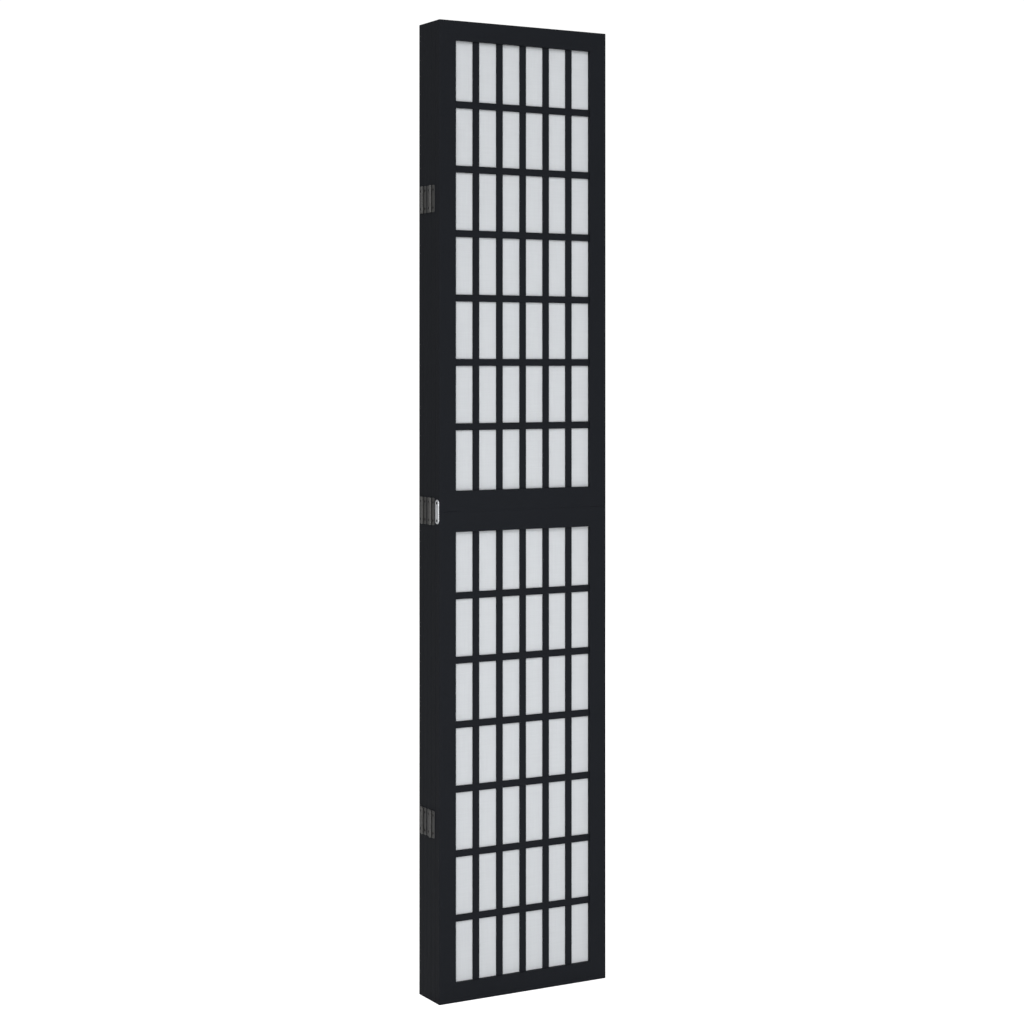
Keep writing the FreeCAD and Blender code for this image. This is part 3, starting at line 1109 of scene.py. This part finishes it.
@dataclass(frozen=True)
class HingeEdge:
    """The leaves of one panel on one of its edges, three hinges high, with their screws."""

    panel: int
    side: Side
    front_of_pair: bool
    leaf_reach: float = 14.0
    leaf_thickness: float = 1.0
    barrel_radius: float = 2.3
    knuckle_gap: float = 0.2
    sweep_gap: float = 0.3
    near_corner_radius: float = 0.3
    corner_radius: float = 2.0
    ease: float = 0.15
    screw_spacing: float = 33.0
    screw_reach: float = 8.65
    hole_radius: float = 1.5
    sink_radius: float = 2.35
    curl_end_turn: float = 302.0
    curl_steps: int = 26

    @property
    def node(self) -> str:
        """The CAD node that this stands for."""
        return f"panel_{self.panel}_{self.side.label}_leaves"

    @property
    def screw_heights(self) -> tuple[float, float]:
        """Z of the leaf's two screws above its foot."""
        middle, apart = HINGE_HEIGHT / 2, self.screw_spacing / 2
        return middle - apart, middle + apart

    def leaf(self) -> Shell:
        """The flat of one leaf with its two countersunk holes.

        Returns:
            A closed shell round the pin axis: y away from the gap, z up from the leaf's foot, and
            the panel's edge at x = barrel radius.
        """
        near, far = self.barrel_radius + self.sweep_gap, self.leaf_reach
        corners = np.array([(near, 0.0), (far, 0.0), (far, HINGE_HEIGHT), (near, HINGE_HEIGHT)])
        near_radius, far_radius = self.near_corner_radius, self.corner_radius
        radii = np.array([near_radius, far_radius, far_radius, near_radius])
        holes = np.array([(self.screw_reach, height) for height in self.screw_heights])
        return self.stood(punched_plate(
            corners, radii, holes, self.leaf_thickness, self.ease,
            self.hole_radius, self.sink_radius,
        ))

    def stood(self, flat: Shell) -> Shell:
        """Stand up a shell drawn flat: x runs away from the gap, y up and z off the panel."""
        x, y, z = flat.points.T
        return Shell(np.stack([self.barrel_radius - z, x, y], axis=1), flat.faces)

    def curl(self, low: float, high: float) -> Shell:
        """The strip that is rolled into one knuckle.

        In plan the strip runs along the panel's edge to the pin axis and then round it, at radius
        barrel radius outside and one thickness less inside, until it almost meets itself.

        Args:
            low: z of its lower end.
            high: z of its upper end.

        Returns:
            The closed shell.
        """
        places, insets = eased_ends(low, high, self.ease, steps=1)
        turn = -np.radians(np.linspace(0, self.curl_end_turn, self.curl_steps + 1))
        there = np.stack([np.cos(turn), np.sin(turn)], axis=1)
        near = self.barrel_radius + self.sweep_gap
        outlines = []
        for inwards in insets:
            outer = self.barrel_radius - inwards
            inner = self.barrel_radius - self.leaf_thickness + inwards
            outlines.append(np.concatenate([
                [(outer, near)], outer * there, inner * there[::-1], [(inner, near)],
            ]))
        return skin(strung(np.stack(outlines), places))

    def one_hinge(self) -> Shell:
        """Leaf and knuckles of one hinge: the middle knuckle, or the two outer ones.

        Returns:
            The closed shells, round the pin axis.
        """
        pitch, gap = HINGE_HEIGHT / 3, self.knuckle_gap / 2
        if self.front_of_pair:
            spans = [(pitch + gap, 2 * pitch - gap)]
        else:
            spans = [(0.0, pitch - gap), (2 * pitch + gap, HINGE_HEIGHT)]
        return Shell.joined([self.leaf()] + [self.curl(low, high) for low, high in spans])

    def screws(self) -> Shell:
        """The two screws of one leaf.

        Returns:
            The closed shells, round the pin axis.
        """
        screw = Screw().shell(self.leaf_thickness)
        pair = [screw.moved(x=self.screw_reach, y=height) for height in self.screw_heights]
        return self.stood(Shell.joined(pair))

    def placed(self, hinge: Shell) -> Shell:
        """Repeat one hinge up the panel's edge, and turn it to face its way.

        The axis, the gap and the hinges' heights are read from the CAD node's box. A leaf in
        front of the gap reaches towards -Y and one behind it towards +Y.

        Args:
            hinge: a part of one hinge, round the pin axis.

        Returns:
            The parts of the edge's three hinges, where they stand on the folded screen.
        """
        low, high = (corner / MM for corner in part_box(self.node))
        towards = -1.0 if self.front_of_pair else 1.0
        inwards = -float(self.side.value)
        outermost = high.x if self.side is Side.RIGHT else low.x
        axis_x = outermost + inwards * self.barrel_radius
        axis_y = high.y - self.barrel_radius if self.front_of_pair else low.y + self.barrel_radius
        turned = hinge.flipped(x=inwards, y=towards)
        return up_the_edge(turned.moved(x=axis_x, y=axis_y), low.z, high.z)

    def build(self, finishes: dict[str, Material]) -> None:
        """Make and dress the leaves and their screws.

        Args:
            finishes: the materials by finish name.
        """
        body, tail = f"panel_{self.panel}", f"{self.panel}_{self.side.label}"
        leaves = Riding(body, "hinge_steel", (self.node,))
        dress(f"leaves_{tail}", self.placed(self.one_hinge()), finishes["hinge"], leaves)
        screws = Riding(body, "pin_steel")
        dress(f"leaf_screws_{tail}", self.placed(self.screws()), finishes["screw"], screws)


@dataclass(frozen=True)
class HingePins:
    """The round pins between a panel and the one behind it."""

    front_panel: int
    radius: float = 1.2
    dome: float = 0.5
    dome_steps: int = 3
    around: int = 20

    def pin(self) -> Shell:
        """One pin standing on z = 0.

        Its radius is carried up the axis: at each end it follows a quarter circle of height dome
        from a small flat to the full radius.

        Returns:
            The closed shell.
        """
        turn = np.linspace(0, math.pi / 2, self.dome_steps + 1)
        rounding = self.radius - self.dome + self.dome * np.sin(turn)
        rise = self.dome * (1 - np.cos(turn))
        radii = np.concatenate([rounding, rounding[::-1]])
        heights = np.concatenate([rise, HINGE_HEIGHT - rise[::-1]])
        return skin(strung(radii[:, None, None] * circle(self.around), heights))

    def build(self, finishes: dict[str, Material]) -> None:
        """Make and dress the pins, on the axis of the CAD node's box.

        Args:
            finishes: the materials by finish name.
        """
        pair = f"{self.front_panel}_{self.front_panel + 1}"
        node = f"hinge_pins_{pair}"
        low, high = (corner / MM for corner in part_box(node))
        middle = (low + high) / 2
        pins = up_the_edge(self.pin().moved(x=middle.x, y=middle.y), low.z, high.z)
        riding = Riding(f"panel_{self.front_panel + 1}", "pin_steel", (node,))
        dress(f"pins_{pair}", pins, finishes["screw"], riding)


@dataclass(frozen=True)
class SeamPlate:
    """Plate with round ends across the seam of a panel, on its free edge, with two screws."""

    panel: int
    side: Side
    screw_spacing: float = 32.0
    ease: float = 1.0
    hole_radius: float = 1.7
    sink_radius: float = 2.6
    straight_end: float = 0.01
    screw: Screw = Screw(head_radius=2.55, shank_radius=1.6)

    def build(self, finishes: dict[str, Material]) -> None:
        """Make and dress the plate and its screws, in the CAD node's box.

        Args:
            finishes: the materials by finish name.
        """
        node = f"panel_{self.panel}_seam_plate"
        low, high = (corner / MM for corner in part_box(node))
        middle = (low + high) / 2
        half_wide, half_tall, thick = (high.y - low.y) / 2, (high.z - low.z) / 2, high.x - low.x
        corners = np.array([(-1, -1), (1, -1), (1, 1), (-1, 1)]) * np.array([half_wide, half_tall])
        radii = np.full(len(corners), half_wide - self.straight_end)
        holes = np.array([(0.0, -self.screw_spacing / 2), (0.0, self.screw_spacing / 2)])
        plate = punched_plate(
            corners, radii, holes, thick, self.ease, self.hole_radius, self.sink_radius, steps=10
        )
        screw = self.screw.shell(thick)
        screws = Shell.joined([screw.moved(y=float(hole[1])) for hole in holes])
        mounting = low.x if self.side is Side.RIGHT else high.x
        body = f"panel_{self.panel}"
        for name, shell, finish, riding in (
            ("seam_plate", plate, "plate", Riding(body, "plate_steel", (node,))),
            ("seam_plate_screws", screws, "screw", Riding(body, "pin_steel")),
        ):
            x, y, z = shell.points.T
            stood = np.stack([self.side.value * z, x, y], axis=1)
            stood = Shell(stood, shell.faces).moved(mounting, middle.y, middle.z)
            dress(f"{name}_{self.panel}", stood, finishes[finish], riding)


# ======================== the studio
@dataclass(frozen=True)
class SoftLight:
    """Large square lamp: its place, what it faces, its edge in metres and its power in watts."""

    name: str
    place: tuple[float, float, float]
    aim: tuple[float, float, float]
    edge: float
    power: float


@dataclass(frozen=True)
class Studio:
    """Camera, pale floor and soft light, in metres."""

    camera_place: tuple[float, float, float] = (-1.998, -3.531, 1.1695)
    look_along: tuple[float, float, float] = (0.492, 0.871, 0.0)
    lens: float = 75.8
    sensor: float = 36.0
    shift_y: float = -0.144
    floor_edge: float = 60.0
    floor_colour: str = "#f4f4f4"
    sky_colour: str = "#ffffff"
    sky_strength: float = 0.42
    sky_seen: float = 1.05
    floor_glow: float = 0.7
    lights: tuple[SoftLight, ...] = (
        SoftLight("key", (-4.6, -8.6, 6.4), (0.0, 0.0, 0.9), 6.0, 695.0),
        SoftLight("low fill", (-0.4, -2.0, 0.25), (0.0, 0.0, 0.3), 0.9, 12.0),
        SoftLight("back", (2.0, 5.0, 3.6), (0.0, 0.0, 0.9), 3.0, 60.0),
    )

    def build(self) -> None:
        """Make the camera, the floor, the sky and the lamps."""
        self.build_camera()
        self.build_floor()
        self.build_sky()
        for light in self.lights:
            self.build_lamp(light)
        bpy.context.scene.view_settings.view_transform = "Standard"

    def build_camera(self) -> None:
        """Level camera; its small downward shift keeps upright edges upright."""
        camera = bpy.data.objects.new("camera", bpy.data.cameras.new("camera"))
        camera.location = self.camera_place
        camera.rotation_euler = Vector(self.look_along).to_track_quat("-Z", "Y").to_euler()
        camera.data.lens = self.lens
        camera.data.sensor_width = self.sensor
        camera.data.shift_y = self.shift_y
        camera.data.clip_end = 200.0
        bpy.context.scene.collection.objects.link(camera)
        bpy.context.scene.camera = camera

    def build_floor(self) -> None:
        """Wide pale floor at z = 0. The camera sees it glow, so that it runs into the surround."""
        half = self.floor_edge / 2
        corners = [(-half, -half, 0), (half, -half, 0), (half, half, 0), (-half, half, 0)]
        mesh = bpy.data.meshes.new("floor")
        mesh.from_pydata(corners, [], [(0, 1, 2, 3)])
        material, tree = new_material("matt_white_floor_paint")
        seen = add(tree, "ShaderNodeLightPath").outputs["Is Camera Ray"]
        glow = add(tree, "ShaderNodeMath", {0: seen, 1: self.floor_glow}, operation="MULTIPLY")
        surface = add(tree, "ShaderNodeBsdfPrincipled", {
            "Base Color": linear(self.floor_colour), "Roughness": 0.9, "Specular IOR Level": 0.1,
            "Emission Color": linear(self.sky_colour), "Emission Strength": glow.outputs[0],
        })
        add(tree, "ShaderNodeOutputMaterial", {"Surface": surface.outputs[0]})
        mesh.materials.append(material)
        floor = bpy.data.objects.new("floor", mesh)
        bpy.context.scene.collection.objects.link(floor)

    def build_sky(self) -> None:
        """Even white surround: full white behind the object, and a softer share of it as light."""
        world = bpy.data.worlds.new("soft white surround")
        world.use_nodes = True
        tree = world.node_tree
        tree.nodes.clear()
        seen = add(tree, "ShaderNodeLightPath").outputs["Is Camera Ray"]
        strength = add(tree, "ShaderNodeMapRange", {
            "Value": seen, "To Min": self.sky_strength, "To Max": self.sky_seen,
        })
        light = add(tree, "ShaderNodeBackground", {
            "Color": linear(self.sky_colour), "Strength": strength.outputs[0],
        })
        add(tree, "ShaderNodeOutputWorld", {"Surface": light.outputs[0]})
        bpy.context.scene.world = world

    def build_lamp(self, light: SoftLight) -> None:
        """One square area lamp.

        Args:
            light: what it is called, where it stands, what it faces, its edge and its power.
        """
        data = bpy.data.lights.new(light.name, "AREA")
        data.size = light.edge
        data.energy = light.power
        lamp = bpy.data.objects.new(light.name, data)
        lamp.location = light.place
        facing = Vector(light.aim) - lamp.location
        lamp.rotation_euler = facing.to_track_quat("-Z", "Y").to_euler()
        bpy.context.scene.collection.objects.link(lamp)


# ======================== the whole screen
def main() -> None:
    """Build the studio and every sub-assembly."""
    logging.basicConfig(level=logging.INFO, format="%(message)s")
    Studio().build()
    finishes = {
        "upright_paint": SatinBlackPaint(Grain.UPRIGHT).material(),
        "level_paint": SatinBlackPaint(Grain.LEVEL).material(),
        "cloth": ShadeCloth().material(),
        "hinge": HINGE_STEEL.material(),
        "screw": SCREW_STEEL.material(),
        "plate": PLATE_STEEL.material(),
    }
    sizes = HalfSizes.read()
    for panel in range(1, PANEL_COUNT + 1):
        for half in Half:
            HalfPanel(panel, half, sizes).build(finishes)
    for front_panel in range(1, PANEL_COUNT):
        side = Side.RIGHT if front_panel % 2 else Side.LEFT
        HingeEdge(front_panel, side, front_of_pair=True).build(finishes)
        HingeEdge(front_panel + 1, side, front_of_pair=False).build(finishes)
        HingePins(front_panel).build(finishes)
    SeamPlate(1, Side.LEFT).build(finishes)
    SeamPlate(PANEL_COUNT, Side.RIGHT).build(finishes)


if __name__ == "__main__":
    main()
